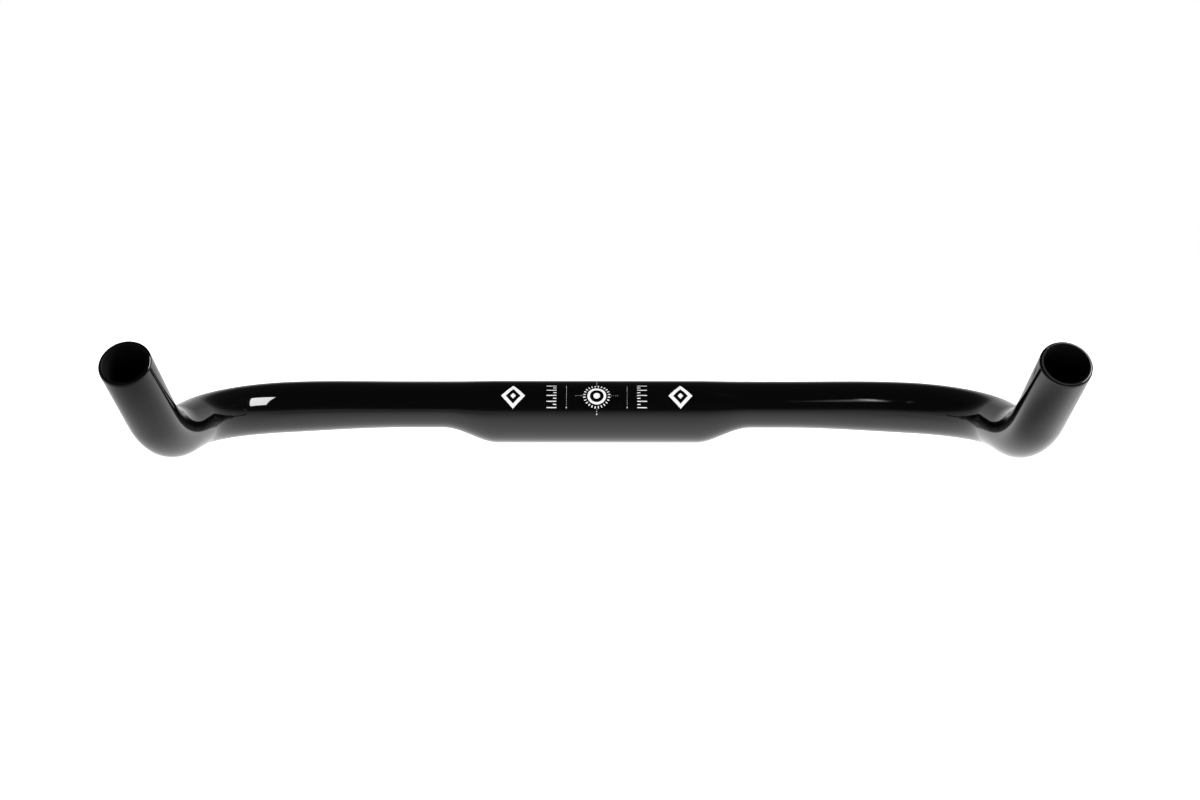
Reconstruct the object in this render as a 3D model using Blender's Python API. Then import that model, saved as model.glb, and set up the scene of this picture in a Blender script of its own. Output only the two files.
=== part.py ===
# Bullhorn handlebar: one bent and swaged aluminium tube, with white transfers on its clamp.
#
# Frame: origin at the centre of the stem clamp, +X along the bar, -Y the way the horns point,
# +Z up off the plane that the clamp and both rising bends rest on. Metres and degrees. The bar
# is symmetric about the YZ plane. Left and right are the rider's, so the left horn is at +X.

import math
from collections import namedtuple

import bmesh
import bpy
from mathutils import Matrix, Vector

# Sections. The tops are an oval whose long axis dips towards the front; the clamp and the horns
# are round. The tops' axis is above the clamp's, so the bar's upper edge runs straight across and
# the clamp bulges out below it. The oval fills out along the sweep, up to the shoulder where the
# forward bend starts.
CLAMP_RADIUS = 0.0159
HORN_RADIUS = 0.0119
TOP_MAJOR = 0.0150
TOP_MINOR = 0.0112
TOP_TILT = 21.0
TOP_RISE = 0.0037
SHOULDER_MINOR = 0.0125
WALL = 0.0020

# Centreline of one half, from the middle outwards: clamp, bulge, straight top, slow sweep,
# forward bend, short run, rising bend, horn. Yaw turns from +X towards -Y, pitch is upward.
CLAMP_HALF_LENGTH = 0.0510
BULGE_END = 0.0785
STRAIGHT_END = 0.0970
SWEEP_RADIUS = 0.2790
SWEEP_YAW = 12.4
SWEEP_PITCH = -1.8
BEND_RADIUS = 0.0512
BEND_YAW = 82.8
BEND_PITCH = -5.5
FORWARD_RUN = 0.0170
RISE_RADIUS = 0.0623
HORN_YAW = 85.7
HORN_PITCH = 35.1
HORN_LENGTH = 0.0440

# Transfers. Each is a thin film that lies round the front of the clamp, centred PRINT_CENTRE
# degrees above the front. A film's own sizes are measured flat, before it is wrapped.
PRINT_CENTRE = 35.0
FILM_GAP = 0.0003
FILM_THICKNESS = 0.0002
TARGET_RADIUS = 0.0112
SCALE_INNER_X = 0.0146
SCALE_OUTER_X = 0.0262
SCALE_HALF_HEIGHT = 0.0074
DIAMOND_X = 0.0425
DIAMOND_HALF_WIDTH = 0.0061
DIAMOND_HALF_HEIGHT = 0.0070
FILM_CORNER = 0.0003

# Facets.
TUBE_SIDES = 28
BULGE_STEPS = 8
SWEEP_STEPS = 6
BEND_STEPS = 10
RISE_STEPS = 8
FILM_ROWS = 14

BLACK = (0.012, 0.012, 0.013, 1.0)
WHITE = (0.85, 0.85, 0.84, 1.0)

Station = namedtuple("Station", "centre heading major minor")


def clear_scene():
    for item in list(bpy.data.objects):
        bpy.data.objects.remove(item, do_unlink=True)


def smooth(t):
    return t * t * (3.0 - 2.0 * t)


def mix(start, end, amount):
    return start + (end - start) * amount


# The tube.


def clamp_section(x):
    """Half axes and centre height at a distance x along the clamp, bulge or straight top."""
    along = (abs(x) - CLAMP_HALF_LENGTH) / (BULGE_END - CLAMP_HALF_LENGTH)
    away = smooth(min(max(along, 0.0), 1.0))
    major = mix(CLAMP_RADIUS, TOP_MAJOR, away)
    minor = mix(CLAMP_RADIUS, TOP_MINOR, away)
    return major, minor, TOP_RISE * away


def direction(yaw, pitch):
    yaw = math.radians(yaw)
    pitch = math.radians(pitch)
    level = math.cos(pitch)
    return Vector((level * math.cos(yaw), -level * math.sin(yaw), math.sin(pitch)))


def arc(centre, heading, new_heading, radius, steps):
    """Centres and headings along a bend of the centreline, without its first."""
    axis = heading.cross(new_heading).normalized()
    turn = heading.angle(new_heading)
    pivot = centre + axis.cross(heading) * radius
    route = []
    for step in range(1, steps + 1):
        spin = Matrix.Rotation(turn * step / steps, 3, axis)
        route.append((pivot + spin @ (centre - pivot), spin @ heading))
    return route


def half_bar():
    """Stations of the +X half, from the end of the clamp to the end of the horn."""
    outward = direction(0.0, 0.0)
    stations = []
    for step in range(BULGE_STEPS + 1):
        x = mix(CLAMP_HALF_LENGTH, BULGE_END, step / BULGE_STEPS)
        major, minor, height = clamp_section(x)
        stations.append(Station(Vector((x, 0.0, height)), outward, major, minor))

    start = Vector((STRAIGHT_END, 0.0, TOP_RISE))
    stations.append(Station(start, outward, TOP_MAJOR, TOP_MINOR))

    swept = direction(SWEEP_YAW, SWEEP_PITCH)
    sweep = arc(start, outward, swept, SWEEP_RADIUS, SWEEP_STEPS)
    for step, (centre, heading) in enumerate(sweep, start=1):
        minor = mix(TOP_MINOR, SHOULDER_MINOR, smooth(step / SWEEP_STEPS))
        stations.append(Station(centre, heading, TOP_MAJOR, minor))

    forward = direction(BEND_YAW, BEND_PITCH)
    bend = arc(stations[-1].centre, swept, forward, BEND_RADIUS, BEND_STEPS)
    for step, (centre, heading) in enumerate(bend, start=1):
        rounding = smooth(step / BEND_STEPS)
        major = mix(TOP_MAJOR, HORN_RADIUS, rounding)
        minor = mix(SHOULDER_MINOR, HORN_RADIUS, rounding)
        stations.append(Station(centre, heading, major, minor))

    run_end = stations[-1].centre + forward * FORWARD_RUN
    stations.append(Station(run_end, forward, HORN_RADIUS, HORN_RADIUS))

    horn = direction(HORN_YAW, HORN_PITCH)
    for centre, heading in arc(run_end, forward, horn, RISE_RADIUS, RISE_STEPS):
        stations.append(Station(centre, heading, HORN_RADIUS, HORN_RADIUS))

    tip = stations[-1].centre + horn * HORN_LENGTH
    stations.append(Station(tip, horn, HORN_RADIUS, HORN_RADIUS))
    return stations


def section_ring(bm, station, inset, mirrored):
    """One ring of the tube's wall, inset from the outer surface."""
    back = Vector((0.0, 0.0, 1.0)).cross(station.heading).normalized()
    up = station.heading.cross(back)
    tilt = math.radians(TOP_TILT)
    long_axis = (back * math.cos(tilt) + up * math.sin(tilt)) * (station.major - inset)
    short_axis = (up * math.cos(tilt) - back * math.sin(tilt)) * (station.minor - inset)
    ring = []
    for side in range(TUBE_SIDES):
        angle = math.tau * side / TUBE_SIDES
        point = station.centre + long_axis * math.cos(angle) + short_axis * math.sin(angle)
        if mirrored:
            point.x = -point.x
        ring.append(bm.verts.new(point))
    return ring


def join_rings(bm, first, second):
    count = len(first)
    for side in range(count):
        after = (side + 1) % count
        bm.faces.new((first[side], first[after], second[after], second[side]))


def handlebar_tube():
    """The whole tube: an outer and an inner skin, joined by a square-cut rim at each end."""
    half = half_bar()
    bm = bmesh.new()
    skins = []
    for inset in (0.0, WALL):
        rings = [section_ring(bm, station, inset, True) for station in reversed(half)]
        rings += [section_ring(bm, station, inset, False) for station in half]
        for first, second in zip(rings, rings[1:]):
            join_rings(bm, first, second)
        skins.append(rings)
    outer, inner = skins
    join_rings(bm, outer[0], inner[0])
    join_rings(bm, outer[-1], inner[-1])
    return bm


# The transfers.


def wrapped(x, y, lift):
    """The place on the bar of a point of the flat artwork, raised off the surface by lift."""
    angle = math.radians(PRINT_CENTRE) + y / CLAMP_RADIUS
    major, minor, height = clamp_section(x)
    off_axis = angle + math.radians(TOP_TILT)
    radius = 1.0 / math.hypot(math.cos(off_axis) / major, math.sin(off_axis) / minor) + lift
    return Vector((x, -radius * math.cos(angle), height + radius * math.sin(angle)))


def film(half_height, ends_at):
    """A film built up in rows; ends_at gives the two ends of the row at each height."""
    bm = bmesh.new()
    rings = []
    for row in range(FILM_ROWS + 1):
        y = mix(-half_height, half_height, row / FILM_ROWS)
        near, far = ends_at(y)
        corners = (
            (near, FILM_GAP),
            (far, FILM_GAP),
            (far, FILM_GAP + FILM_THICKNESS),
            (near, FILM_GAP + FILM_THICKNESS),
        )
        rings.append([bm.verts.new(wrapped(x, y, lift)) for x, lift in corners])
    for first, second in zip(rings, rings[1:]):
        join_rings(bm, first, second)
    bm.faces.new(rings[0])
    bm.faces.new(rings[-1])
    return bm


def target_transfer():
    def ends_at(y):
        half = math.sqrt(max(TARGET_RADIUS**2 - y**2, 0.0)) + FILM_CORNER
        return -half, half

    return film(TARGET_RADIUS, ends_at)


def scale_transfer(side):
    def ends_at(_):
        return side * SCALE_INNER_X, side * SCALE_OUTER_X

    return film(SCALE_HALF_HEIGHT, ends_at)


def diamond_transfer(side):
    def ends_at(y):
        half = DIAMOND_HALF_WIDTH * (1.0 - abs(y) / DIAMOND_HALF_HEIGHT) + FILM_CORNER
        return side * DIAMOND_X - half, side * DIAMOND_X + half

    return film(DIAMOND_HALF_HEIGHT, ends_at)


def finish_material(name, colour, roughness):
    material = bpy.data.materials.new(name)
    material.use_nodes = True
    shader = material.node_tree.nodes["Principled BSDF"]
    shader.inputs["Base Color"].default_value = colour
    shader.inputs["Roughness"].default_value = roughness
    shader.inputs["Metallic"].default_value = 0.0
    return material


def add_node(name, bm, material):
    bmesh.ops.recalc_face_normals(bm, faces=bm.faces)
    mesh = bpy.data.meshes.new(name)
    bm.to_mesh(mesh)
    bm.free()
    mesh.materials.append(material)
    mesh.shade_smooth()
    mesh.set_sharp_from_angle(angle=math.radians(35.0))
    bpy.context.scene.collection.objects.link(bpy.data.objects.new(name, mesh))


def main():
    clear_scene()
    gloss_black = finish_material("gloss_black", BLACK, 0.08)
    white_ink = finish_material("white_ink", WHITE, 0.35)
    add_node("handlebar_tube", handlebar_tube(), gloss_black)
    add_node("target_transfer", target_transfer(), white_ink)
    for side, name in ((1, "left"), (-1, "right")):
        add_node(f"{name}_scale_transfer", scale_transfer(side), white_ink)
        add_node(f"{name}_diamond_transfer", diamond_transfer(side), white_ink)


main()
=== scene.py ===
import math

import bmesh
import bpy
from mathutils import Matrix, Vector


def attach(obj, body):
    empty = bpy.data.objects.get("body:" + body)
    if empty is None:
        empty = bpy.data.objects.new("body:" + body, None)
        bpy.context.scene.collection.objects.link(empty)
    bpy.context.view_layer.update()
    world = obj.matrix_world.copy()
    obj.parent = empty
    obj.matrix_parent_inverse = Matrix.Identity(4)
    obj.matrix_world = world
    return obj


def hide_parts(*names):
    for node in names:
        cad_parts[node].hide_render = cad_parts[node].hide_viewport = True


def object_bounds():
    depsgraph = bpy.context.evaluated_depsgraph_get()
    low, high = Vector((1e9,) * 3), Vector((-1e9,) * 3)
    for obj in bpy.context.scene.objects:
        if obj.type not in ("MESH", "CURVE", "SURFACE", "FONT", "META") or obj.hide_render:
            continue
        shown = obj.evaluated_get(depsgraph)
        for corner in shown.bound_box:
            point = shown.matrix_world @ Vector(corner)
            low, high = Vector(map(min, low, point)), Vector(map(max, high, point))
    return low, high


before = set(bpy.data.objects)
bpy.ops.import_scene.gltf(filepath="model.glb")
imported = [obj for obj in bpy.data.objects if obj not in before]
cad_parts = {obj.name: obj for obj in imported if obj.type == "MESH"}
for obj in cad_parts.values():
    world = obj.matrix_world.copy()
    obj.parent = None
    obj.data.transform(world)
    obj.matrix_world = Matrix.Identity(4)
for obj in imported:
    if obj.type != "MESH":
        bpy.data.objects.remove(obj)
cadLow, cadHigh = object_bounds()

# A bullhorn bar: one gloss black tube with white marks printed on its clamp.
# Metres and degrees. The clamp's centre is the origin, -Y is forward, the way the
# horns point, and +Z is up. Left and right are the rider's: +X is left.


def smooth(t):
    return t * t * (3.0 - 2.0 * t)


def mix(start, end, amount):
    return start + (end - start) * amount


def addPiece(name, bm, materials, replaced):
    mesh = bpy.data.meshes.new(name)
    bm.to_mesh(mesh)
    bm.free()
    for material in materials:
        mesh.materials.append(material)
    piece = bpy.data.objects.new(name, mesh)
    bpy.context.scene.collection.objects.link(piece)
    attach(piece, "root")
    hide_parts(replaced)
    return piece


shot = {
    "place": (0.0056, -0.9752, 0.0797),
    "look": (-0.0041, 0.9976, -0.0754),
    "roll": 0.03,
    "lens": 57.0,
    "sensor": 36.0,
    "clip": (0.01, 50.0),
}


def addCamera():
    data = bpy.data.cameras.new("barCamera")
    data.lens = shot["lens"]
    data.sensor_width = shot["sensor"]
    data.clip_start, data.clip_end = shot["clip"]
    camera = bpy.data.objects.new("barCamera", data)
    turned = Vector(shot["look"]).to_track_quat("-Z", "Y").to_matrix().to_4x4()
    rolled = Matrix.Rotation(math.radians(shot["roll"]), 4, "Z")
    camera.matrix_world = Matrix.Translation(shot["place"]) @ turned @ rolled
    bpy.context.scene.collection.objects.link(camera)
    bpy.context.scene.camera = camera


addCamera()
print("camera placed")


tube = {
    "clampRadius": 0.0159,
    "hornRadius": 0.0119,
    "topMajor": 0.0150,  # the tops are a slim oval, nose down
    "topMinor": 0.0112,
    "topTilt": 21.0,
    "topRise": 0.0037,
    "shoulderMinor": 0.0125,  # the oval fills out along the sweep
    "wall": 0.0020,
    "clampHalf": 0.0510,
    "bulgeEnd": 0.0785,
    "straightEnd": 0.0970,
    "sweepRadius": 0.2790,
    "sweepYaw": 12.4,
    "sweepPitch": -1.8,
    "bendRadius": 0.0512,
    "bendYaw": 82.8,
    "bendPitch": -5.5,
    "forwardRun": 0.0170,
    "riseRadius": 0.0623,
    "hornYaw": 85.7,
    "hornPitch": 35.1,
    "hornLength": 0.0440,
    "sides": 128,
    "ringGap": 0.0020,  # between one ring of the mesh and the next
    "mergeGap": 0.00001,
    "squareEdge": 60.0,  # only the rim's edges are sharper than this
    "rimRound": 0.0010,
    "rimSegments": 4,
    "coats": ("lacquer", "bore", "rim"),
}


def clampSection(x):
    along = (abs(x) - tube["clampHalf"]) / (tube["bulgeEnd"] - tube["clampHalf"])
    away = smooth(min(max(along, 0.0), 1.0))
    major = mix(tube["clampRadius"], tube["topMajor"], away)
    minor = mix(tube["clampRadius"], tube["topMinor"], away)
    return major, minor, tube["topRise"] * away


def heading(yaw, pitch):
    level = math.cos(math.radians(pitch))
    return Vector((
        level * math.cos(math.radians(yaw)),
        -level * math.sin(math.radians(yaw)),
        math.sin(math.radians(pitch)),
    ))


def bendRoute(centre, along, newAlong, radius):
    axis = along.cross(newAlong).normalized()
    turn = along.angle(newAlong)
    pivot = centre + axis.cross(along) * radius
    count = math.ceil(turn * radius / tube["ringGap"])
    for step in range(1, count + 1):
        spin = Matrix.Rotation(turn * step / count, 3, axis)
        yield step / count, pivot + spin @ (centre - pivot), spin @ along


def sectionPlace(centre, along, major, minor):
    # the matrix that turns a flat unit circle into the tube's section there
    back = Vector((0.0, 0.0, 1.0)).cross(along).normalized()
    up = along.cross(back)
    tilt = math.radians(tube["topTilt"])
    longAxis = (back * math.cos(tilt) + up * math.sin(tilt)) * major
    shortAxis = (up * math.cos(tilt) - back * math.sin(tilt)) * minor
    return Matrix.Translation(centre) @ Matrix((longAxis, shortAxis, along)).transposed().to_4x4()


def halfTube():
    # every section from the middle of the clamp to the end of one horn
    major, minor = tube["topMajor"], tube["topMinor"]
    shoulder, horn = tube["shoulderMinor"], tube["hornRadius"]
    outward = heading(0.0, 0.0)
    places = []
    count = math.ceil(tube["bulgeEnd"] / tube["ringGap"])
    for step in range(count + 1):
        x = tube["bulgeEnd"] * step / count
        wide, tall, rise = clampSection(x)
        places.append(sectionPlace(Vector((x, 0.0, rise)), outward, wide, tall))

    centre = Vector((tube["straightEnd"], 0.0, tube["topRise"]))
    places.append(sectionPlace(centre, outward, major, minor))

    swept = heading(tube["sweepYaw"], tube["sweepPitch"])
    for done, centre, along in bendRoute(centre, outward, swept, tube["sweepRadius"]):
        places.append(sectionPlace(centre, along, major, mix(minor, shoulder, smooth(done))))

    forward = heading(tube["bendYaw"], tube["bendPitch"])
    for done, centre, along in bendRoute(centre, swept, forward, tube["bendRadius"]):
        wide = mix(major, horn, smooth(done))
        tall = mix(shoulder, horn, smooth(done))
        places.append(sectionPlace(centre, along, wide, tall))

    centre = centre + forward * tube["forwardRun"]
    places.append(sectionPlace(centre, forward, horn, horn))

    rising = heading(tube["hornYaw"], tube["hornPitch"])
    for _, centre, along in bendRoute(centre, forward, rising, tube["riseRadius"]):
        places.append(sectionPlace(centre, along, horn, horn))

    places.append(sectionPlace(centre + rising * tube["hornLength"], rising, horn, horn))
    return places


def addRing(bm, place):
    made = bmesh.ops.create_circle(bm, segments=tube["sides"], radius=1.0, matrix=place)
    return list({edge for vert in made["verts"] for edge in vert.link_edges})


def makeTube(materials):
    bm = bmesh.new()
    rings = [addRing(bm, place) for place in halfTube()]
    for ring, nextRing in zip(rings, rings[1:]):
        bmesh.ops.bridge_loops(bm, edges=ring + nextRing)
    bmesh.ops.mirror(
        bm, geom=bm.verts[:] + bm.edges[:] + bm.faces[:], axis="X", merge_dist=tube["mergeGap"],
    )
    bmesh.ops.remove_doubles(bm, verts=bm.verts, dist=tube["mergeGap"])
    bmesh.ops.recalc_face_normals(bm, faces=bm.faces)
    skin = set(bm.faces)
    bmesh.ops.solidify(bm, geom=bm.faces[:], thickness=tube["wall"])

    square = math.radians(tube["squareEdge"])
    rim = [edge for edge in bm.edges if edge.is_manifold and edge.calc_face_angle() > square]
    outerRim = [edge for edge in rim if skin.intersection(edge.link_faces)]
    rimVerts = {vert for edge in rim for vert in edge.verts}
    for face in bm.faces:
        face.smooth = True
        coat = "lacquer" if face in skin else "bore"
        if rimVerts.issuperset(face.verts):
            coat = "rim"
        face.material_index = tube["coats"].index(coat)

    # the lacquer runs over the rounded outer edge of the rim
    rounded = bmesh.ops.bevel(
        bm, geom=outerRim, offset=tube["rimRound"], offset_type="OFFSET",
        segments=tube["rimSegments"], profile=0.5, affect="EDGES", material=-1,
    )
    for face in rounded["faces"]:
        face.material_index = tube["coats"].index("lacquer")
    return addPiece("barTube", bm, materials, "handlebar_tube")


finishes = {
    "lacquer": {
        "colour": (0.0010, 0.0010, 0.0011),
        "roughness": (0.030, 0.060),
        "mottle": 45.0,  # patches of softer gloss, per metre
        "mottleFade": (0.35, 0.65),  # the noise levels where a patch starts and is full
        "grain": 420.0,  # the faint orange peel of sprayed lacquer, per metre
        "grainDepth": 0.000004,
    },
    "rim": {
        "colour": (0.0006, 0.0006, 0.0006),
        "roughness": 0.50,
        "specular": 0.1,
        "grain": 9000.0,
        "grainDepth": 0.00002,
    },
    "bore": {
        "colour": (0.0004, 0.0004, 0.0004),
        "roughness": 0.70,
        "specular": 0.1,
        "grain": 3000.0,
        "grainDepth": 0.00003,
    },
    "ink": {
        "thin": (0.62, 0.62, 0.61),
        "full": (0.80, 0.80, 0.79),
        "roughness": 0.38,
        "mottle": 1300.0,
        "mottleFade": (0.25, 0.50),
        "grain": 1300.0,
        "grainDepth": 0.00001,
    },
    "mottleDetail": 3.0,
    "grainDetail": 2.0,
}


def newMaterial(name, colour, roughness):
    material = bpy.data.materials.new(name)
    material.use_nodes = True
    shader = material.node_tree.nodes["Principled BSDF"]
    shader.inputs["Base Color"].default_value = (*colour, 1.0)
    shader.inputs["Roughness"].default_value = roughness
    return material, shader


def addNoise(material, scale, detail):
    nodes, links = material.node_tree.nodes, material.node_tree.links
    place = nodes.new("ShaderNodeTexCoord")
    noise = nodes.new("ShaderNodeTexNoise")
    noise.inputs["Scale"].default_value = scale
    noise.inputs["Detail"].default_value = detail
    links.new(place.outputs["Object"], noise.inputs["Vector"])
    return noise.outputs["Fac"]


def addGrain(material, shader, finish):
    nodes, links = material.node_tree.nodes, material.node_tree.links
    bump = nodes.new("ShaderNodeBump")
    bump.inputs["Strength"].default_value = 1.0
    bump.inputs["Distance"].default_value = finish["grainDepth"]
    grain = addNoise(material, finish["grain"], finishes["grainDetail"])
    links.new(grain, bump.inputs["Height"])
    links.new(bump.outputs["Normal"], shader.inputs["Normal"])


def lacquerMaterial():
    finish = finishes["lacquer"]
    glossy, softer = finish["roughness"]
    start, full = finish["mottleFade"]
    material, shader = newMaterial("blackLacquer", finish["colour"], glossy)
    nodes, links = material.node_tree.nodes, material.node_tree.links
    gloss = nodes.new("ShaderNodeMapRange")
    gloss.inputs["From Min"].default_value = start
    gloss.inputs["From Max"].default_value = full
    gloss.inputs["To Min"].default_value = glossy
    gloss.inputs["To Max"].default_value = softer
    mottle = addNoise(material, finish["mottle"], finishes["mottleDetail"])
    links.new(mottle, gloss.inputs["Value"])
    links.new(gloss.outputs["Result"], shader.inputs["Roughness"])
    addGrain(material, shader, finish)
    return material


def dullMaterial(name, finish):
    material, shader = newMaterial(name, finish["colour"], finish["roughness"])
    shader.inputs["Specular IOR Level"].default_value = finish["specular"]
    addGrain(material, shader, finish)
    return material


def inkMaterial():
    finish = finishes["ink"]
    material, shader = newMaterial("whiteInk", finish["full"], finish["roughness"])
    nodes, links = material.node_tree.nodes, material.node_tree.links
    cover = nodes.new("ShaderNodeValToRGB")
    stops = zip(cover.color_ramp.elements, finish["mottleFade"], (finish["thin"], finish["full"]))
    for stop, level, colour in stops:
        stop.position = level
        stop.color = (*colour, 1.0)
    mottle = addNoise(material, finish["mottle"], finishes["mottleDetail"])
    links.new(mottle, cover.inputs["Fac"])
    links.new(cover.outputs["Color"], shader.inputs["Base Color"])
    addGrain(material, shader, finish)
    return material


blackLacquer = lacquerMaterial()
rimBlack = dullMaterial("rimBlack", finishes["rim"])
boreBlack = dullMaterial("boreBlack", finishes["bore"])
whiteInk = inkMaterial()
barTube = makeTube([blackLacquer, boreBlack, rimBlack])
print("tube made:", len(barTube.data.polygons), "faces")

# The marks are drawn flat, then sliced into rows and wrapped round the clamp.
# Sizes are in millimetres, on the flat drawing, across the bar and up round it.
marks = {
    "centre": 35.0,  # degrees up from the front of the clamp
    "lift": 0.02,
    "inkDepth": 0.03,
    "row": 0.5,
    "dotPitch": 1.06,
    "dotRadius": 0.15,
    "dotSides": 12,
}
target = {
    "spot": 1.7,
    "ring": (3.5, 4.8),
    "rays": 24,
    "ray": (5.7, 6.9),
    "rayWidth": 0.55,
    "levelDots": (7.4, 10.6),
    "upperDots": (7.4, 12.2),
    "lowerDots": (7.4, 9.2),
    "endDot": 9.8,
    "endDotRadius": 0.36,
    "sides": 64,
}
scale = {
    "inner": 20.5,
    "longTick": 5.0,
    "shortTick": 1.7,
    "tickHeight": 0.48,
    "ticks": 9,
    "lowest": -6.4,
    "pitch": 1.65,
    "dotsAt": 15.4,
    "dots": (-5.9, 6.6),
    "endDotRadius": 0.288,
}
diamond = {
    "x": 42.5,
    "halfWidth": 6.1,
    "halfHeight": 7.0,
    "hollow": 0.62,  # this and the core are shares of the whole diamond
    "core": 0.24,
    "sides": 4,
}
millimetre = 0.001


def addBar(bm, x, y, width, height, turn=0.0):
    place = (
        Matrix.Rotation(turn, 4, "Z") @ Matrix.Translation((x, y, 0.0))
        @ Matrix.Diagonal((width, height, 1.0, 1.0))
    )
    bmesh.ops.create_grid(bm, x_segments=1, y_segments=1, size=0.5, matrix=place)


def addDisc(bm, x, y, radius, sides):
    place = Matrix.Translation((x, y, 0.0))
    bmesh.ops.create_circle(bm, cap_ends=True, segments=sides, radius=radius, matrix=place)


def addDots(bm, start, end):
    # a row of dots from one point of the drawing to another
    count = round(math.dist(start, end) / marks["dotPitch"])
    for step in range(count + 1):
        x, y = Vector(start).lerp(Vector(end), step / count)
        addDisc(bm, x, y, marks["dotRadius"], marks["dotSides"])


def addHoop(bm, place, inner, outer, sides):
    # a flat ring between two similar outlines
    edges = []
    for size in (inner, outer):
        made = bmesh.ops.create_circle(
            bm, segments=sides, radius=1.0, matrix=place @ Matrix.Diagonal((size, size, 1.0, 1.0)),
        )
        edges += list({edge for vert in made["verts"] for edge in vert.link_edges})
    bmesh.ops.bridge_loops(bm, edges=edges)


def wrapped(x, y, lift):
    # where a point of the flat drawing lies on the clamp, raised off it by lift
    angle = math.radians(marks["centre"]) + y / tube["clampRadius"]
    major, minor, rise = clampSection(x)
    offAxis = angle + math.radians(tube["topTilt"])
    radius = 1.0 / math.hypot(math.cos(offAxis) / major, math.sin(offAxis) / minor) + lift
    return Vector((x, -radius * math.cos(angle), rise + radius * math.sin(angle)))


def putInOrder(elements, place):
    for rank, element in enumerate(sorted(elements, key=place)):
        element.index = rank
    elements.sort()


def printMark(name, bm, replaced):
    height = max(abs(vert.co.y) for vert in bm.verts)
    rows = math.ceil(height / marks["row"])
    for row in range(-rows, rows + 1):
        bmesh.ops.bisect_plane(
            bm, geom=bm.verts[:] + bm.edges[:] + bm.faces[:],
            plane_co=(0.0, row * marks["row"], 0.0), plane_no=(0.0, 1.0, 0.0),
        )
    bmesh.ops.solidify(bm, geom=bm.faces[:], thickness=marks["inkDepth"])
    lowest = min(vert.co.z for vert in bm.verts)
    for vert in bm.verts:
        x, y, z = vert.co * millimetre
        vert.co = wrapped(x, y, z + (marks["lift"] - lowest) * millimetre)
    bmesh.ops.recalc_face_normals(bm, faces=bm.faces)

    # slicing leaves the corners and faces in any order
    putInOrder(bm.verts, lambda vert: vert.co[:])
    putInOrder(bm.faces, lambda face: sorted(vert.index for vert in face.verts))
    return addPiece(name, bm, [whiteInk], replaced)


def drawTarget():
    bm = bmesh.new()
    addDisc(bm, 0.0, 0.0, target["spot"], target["sides"])
    addHoop(bm, Matrix(), *target["ring"], target["sides"])
    near, far = target["ray"]
    for ray in range(target["rays"]):
        turn = math.tau * (ray + 0.5) / target["rays"]
        addBar(bm, (near + far) / 2.0, 0.0, far - near, target["rayWidth"], turn)
    near, far = target["levelDots"]
    for side in (-1.0, 1.0):
        addDots(bm, (side * near, 0.0), (side * far, 0.0))
    near, far = target["upperDots"]
    addDots(bm, (0.0, near), (0.0, far))
    near, far = target["lowerDots"]
    addDots(bm, (0.0, -near), (0.0, -far))
    addDisc(bm, 0.0, -target["endDot"], target["endDotRadius"], marks["dotSides"])
    return bm


def drawScale(side):
    bm = bmesh.new()
    for tick in range(scale["ticks"]):
        length = scale["shortTick"] if tick % 2 else scale["longTick"]
        x = side * (scale["inner"] + length / 2.0)
        addBar(bm, x, scale["lowest"] + tick * scale["pitch"], length, scale["tickHeight"])
    x = side * scale["dotsAt"]
    low, high = scale["dots"]
    addDots(bm, (x, low), (x, high))
    addDisc(bm, x, low - marks["dotPitch"] / 2.0, scale["endDotRadius"], marks["dotSides"])
    return bm


def drawDiamond(side):
    bm = bmesh.new()
    place = (
        Matrix.Translation((side * diamond["x"], 0.0, 0.0))
        @ Matrix.Diagonal((diamond["halfWidth"], diamond["halfHeight"], 1.0, 1.0))
    )
    addHoop(bm, place, diamond["hollow"], 1.0, diamond["sides"])
    bmesh.ops.create_circle(
        bm, cap_ends=True, segments=diamond["sides"], radius=diamond["core"], matrix=place,
    )
    return bm


printMark("targetPrint", drawTarget(), "target_transfer")
for side, name in ((1.0, "left"), (-1.0, "right")):
    printMark(name + "ScalePrint", drawScale(side), name + "_scale_transfer")
    printMark(name + "DiamondPrint", drawDiamond(side), name + "_diamond_transfer")
print("marks printed: 5 pieces")


studio = {
    "floorHalf": 30.0,
    "floorGap": 0.0002,
    "floorColour": (0.9, 0.9, 0.9),
    "floorRoughness": 0.9,
    "floorGlow": 1.0,
    "backdrop": (1.0, 1.0, 1.0),
    "lean": 12.0,  # the white surround stands this much higher behind the bar than in front
    "surround": (  # how bright the surround is, from straight below to straight above
        (-1.00, 1.75),
        (-0.82, 1.66),
        (-0.48, 1.40),
        (-0.22, 1.13),
        (-0.10, 0.99),
        (0.04, 0.74),
        (0.16, 0.52),
        (0.23, 0.42),
        (0.29, 0.24),
        (0.36, 0.09),
        (0.48, 0.04),
        (1.00, 0.03),
    ),
    "brightest": 2.0,
    "cardSides": 64,
}


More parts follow.
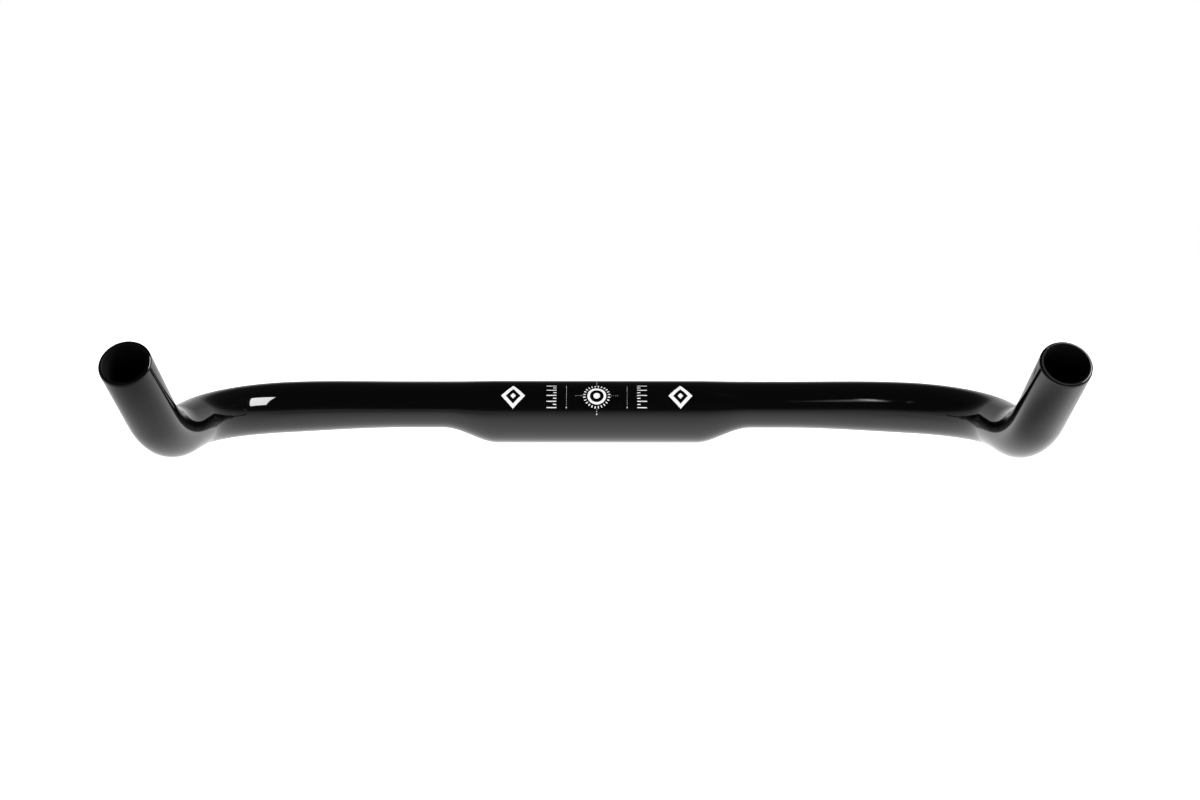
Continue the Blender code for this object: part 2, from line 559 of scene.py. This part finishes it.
def addWorld():
    world = bpy.data.worlds.new("studioSurround")
    bpy.context.scene.world = world
    world.use_nodes = True
    nodes, links = world.node_tree.nodes, world.node_tree.links
    lit = nodes["Background"]
    backdrop = nodes.new("ShaderNodeBackground")
    backdrop.inputs["Color"].default_value = (*studio["backdrop"], 1.0)
    lit.inputs["Strength"].default_value = studio["brightest"]
    place = nodes.new("ShaderNodeTexCoord")
    upward = nodes.new("ShaderNodeVectorMath")
    upward.operation = "DOT_PRODUCT"
    lean = math.radians(studio["lean"])
    upward.inputs[1].default_value = (0.0, -math.sin(lean), math.cos(lean))
    links.new(place.outputs["Generated"], upward.inputs[0])
    fade = nodes.new("ShaderNodeFloatCurve")
    points = fade.mapping.curves[0].points
    fade.mapping.extend = "HORIZONTAL"
    while len(points) < len(studio["surround"]):
        points.new(0.5, 0.5)  # put in place below
    for point, (height, brightness) in zip(points, studio["surround"]):
        point.location = ((height + 1.0) / 2.0, brightness / studio["brightest"])
        point.handle_type = "VECTOR"
    fade.mapping.update()
    share = nodes.new("ShaderNodeMath")  # brings -1 to 1 into the curve's 0 to 1
    share.operation = "MULTIPLY_ADD"
    share.inputs[1].default_value = 0.5
    share.inputs[2].default_value = 0.5
    links.new(upward.outputs["Value"], share.inputs[0])
    links.new(share.outputs[0], fade.inputs["Value"])
    links.new(fade.outputs[0], lit.inputs["Color"])
    seen = nodes.new("ShaderNodeLightPath")
    both = nodes.new("ShaderNodeMixShader")
    links.new(seen.outputs["Is Camera Ray"], both.inputs[0])
    links.new(lit.outputs[0], both.inputs[1])
    links.new(backdrop.outputs[0], both.inputs[2])
    links.new(both.outputs[0], nodes["World Output"].inputs["Surface"])


def addFloor():
    bm = bmesh.new()
    low = Matrix.Translation((0.0, 0.0, cadLow.z - studio["floorGap"]))
    bmesh.ops.create_grid(bm, x_segments=1, y_segments=1, size=studio["floorHalf"], matrix=low)
    mesh = bpy.data.meshes.new("paleFloor")
    bm.to_mesh(mesh)
    bm.free()
    material, shader = newMaterial("palePaper", studio["floorColour"], studio["floorRoughness"])
    shader.inputs["Emission Color"].default_value = (*studio["backdrop"], 1.0)
    shader.inputs["Emission Strength"].default_value = studio["floorGlow"]
    mesh.materials.append(material)
    floor = bpy.data.objects.new("paleFloor", mesh)
    floor.visible_glossy = False
    bpy.context.scene.collection.objects.link(floor)


key = {  # the tall softbox, up on the left and in front, that the right bend mirrors
    "aim": (-0.169, -0.025, 0.007),
    "towards": (0.540, -0.273, 0.796),
    "upright": (-0.370, 0.343, 0.373),
    "distance": 6.0,
    "size": (2.20, 3.55),
    "brightness": 17.5,
}
lampTowards = (-0.105, -0.548, 0.830)
lampUpright = (0.0, 0.834, 0.551)
patches = {
    "lamp": {  # a small near lamp that draws a streak along the left top
        "aim": (0.1370, -0.0235, 0.0035),
        "towards": lampTowards,
        "upright": lampUpright,
        "distance": 0.14,
        "half": (0.0042, 0.022),
        "brightness": 7.0,
    },
    "lampHaze": {  # the streak's faint tail
        "aim": (0.1328, -0.0278, 0.0001),
        "towards": lampTowards,
        "upright": lampUpright,
        "distance": 0.141,
        "half": (0.0090, 0.020),
        "brightness": 1.6,
    },
    "lampFlag": {  # keeps the lamp out of the start of the left bend
        "aim": (0.1593, -0.0205, 0.0072),
        "towards": (-0.259, -0.500, 0.826),
        "upright": lampUpright,
        "distance": 0.030,
        "half": (0.012, 0.020),
        "brightness": 0.03,
    },
    "leftHornShade": {  # a dim card on the floor under each horn, a painted shadow of the horn that only reflections see
        "aim": (0.178, -0.114, cadLow.z),
        "towards": (0.0, 0.0, 1.0),
        "upright": (-0.565, 0.825, 0.0),
        "distance": 0.0,
        "half": (0.047, 0.117),
        "brightness": 0.47,
    },
    "rightHornShade": {
        "aim": (-0.197, -0.203, cadLow.z),
        "towards": (0.0, 0.0, 1.0),
        "upright": (0.0, 1.0, 0.0),
        "distance": 0.0,
        "half": (0.220, 0.220),
        "brightness": 0.22,
    },
}


def facing(light):
    # the place that stands off from the aimed point, along "towards", and faces back at it
    towards = Vector(light["towards"]).normalized()
    across = Vector(light["upright"]).cross(towards).normalized()
    turned = Matrix((across, towards.cross(across), towards)).transposed().to_4x4()
    return Matrix.Translation(Vector(light["aim"]) + towards * light["distance"]) @ turned


def addKey():
    width, height = key["size"]
    lamp = bpy.data.lights.new("keySoftbox", "AREA")
    lamp.shape = "RECTANGLE"
    lamp.size = width
    lamp.size_y = height
    lamp.energy = key["brightness"] * math.pi * width * height
    holder = bpy.data.objects.new("keySoftbox", lamp)
    holder.matrix_world = facing(key)
    holder.visible_camera = False
    bpy.context.scene.collection.objects.link(holder)


def patchMaterial(name, brightness):
    # bright in the middle of a unit circle and clear at its edge
    material = bpy.data.materials.new(name)
    material.use_nodes = True
    nodes, links = material.node_tree.nodes, material.node_tree.links
    nodes.remove(nodes["Principled BSDF"])
    place = nodes.new("ShaderNodeTexCoord")
    away = nodes.new("ShaderNodeVectorMath")
    away.operation = "LENGTH"
    fade = nodes.new("ShaderNodeMapRange")
    fade.interpolation_type = "SMOOTHSTEP"
    fade.inputs["To Min"].default_value = 1.0
    fade.inputs["To Max"].default_value = 0.0
    clear = nodes.new("ShaderNodeBsdfTransparent")
    glow = nodes.new("ShaderNodeEmission")
    glow.inputs["Strength"].default_value = brightness
    both = nodes.new("ShaderNodeMixShader")
    links.new(place.outputs["Object"], away.inputs[0])
    links.new(away.outputs["Value"], fade.inputs["Value"])
    links.new(fade.outputs["Result"], both.inputs[0])
    links.new(clear.outputs[0], both.inputs[1])
    links.new(glow.outputs[0], both.inputs[2])
    links.new(both.outputs[0], nodes["Material Output"].inputs["Surface"])
    return material


def addPatch(name, patch):
    bm = bmesh.new()
    bmesh.ops.create_circle(bm, cap_ends=True, segments=studio["cardSides"], radius=1.0)
    mesh = bpy.data.meshes.new(name)
    bm.to_mesh(mesh)
    bm.free()
    mesh.materials.append(patchMaterial(name, patch["brightness"]))
    card = bpy.data.objects.new(name, mesh)
    card.matrix_world = facing(patch) @ Matrix.Diagonal((*patch["half"], 1.0, 1.0))
    card.visible_camera = False
    card.visible_diffuse = False
    card.visible_shadow = False
    bpy.context.scene.collection.objects.link(card)


addWorld()
addFloor()
addKey()
for name, patch in patches.items():
    addPatch(name, patch)
bpy.context.scene.view_settings.view_transform = "Standard"
print("stage lit")
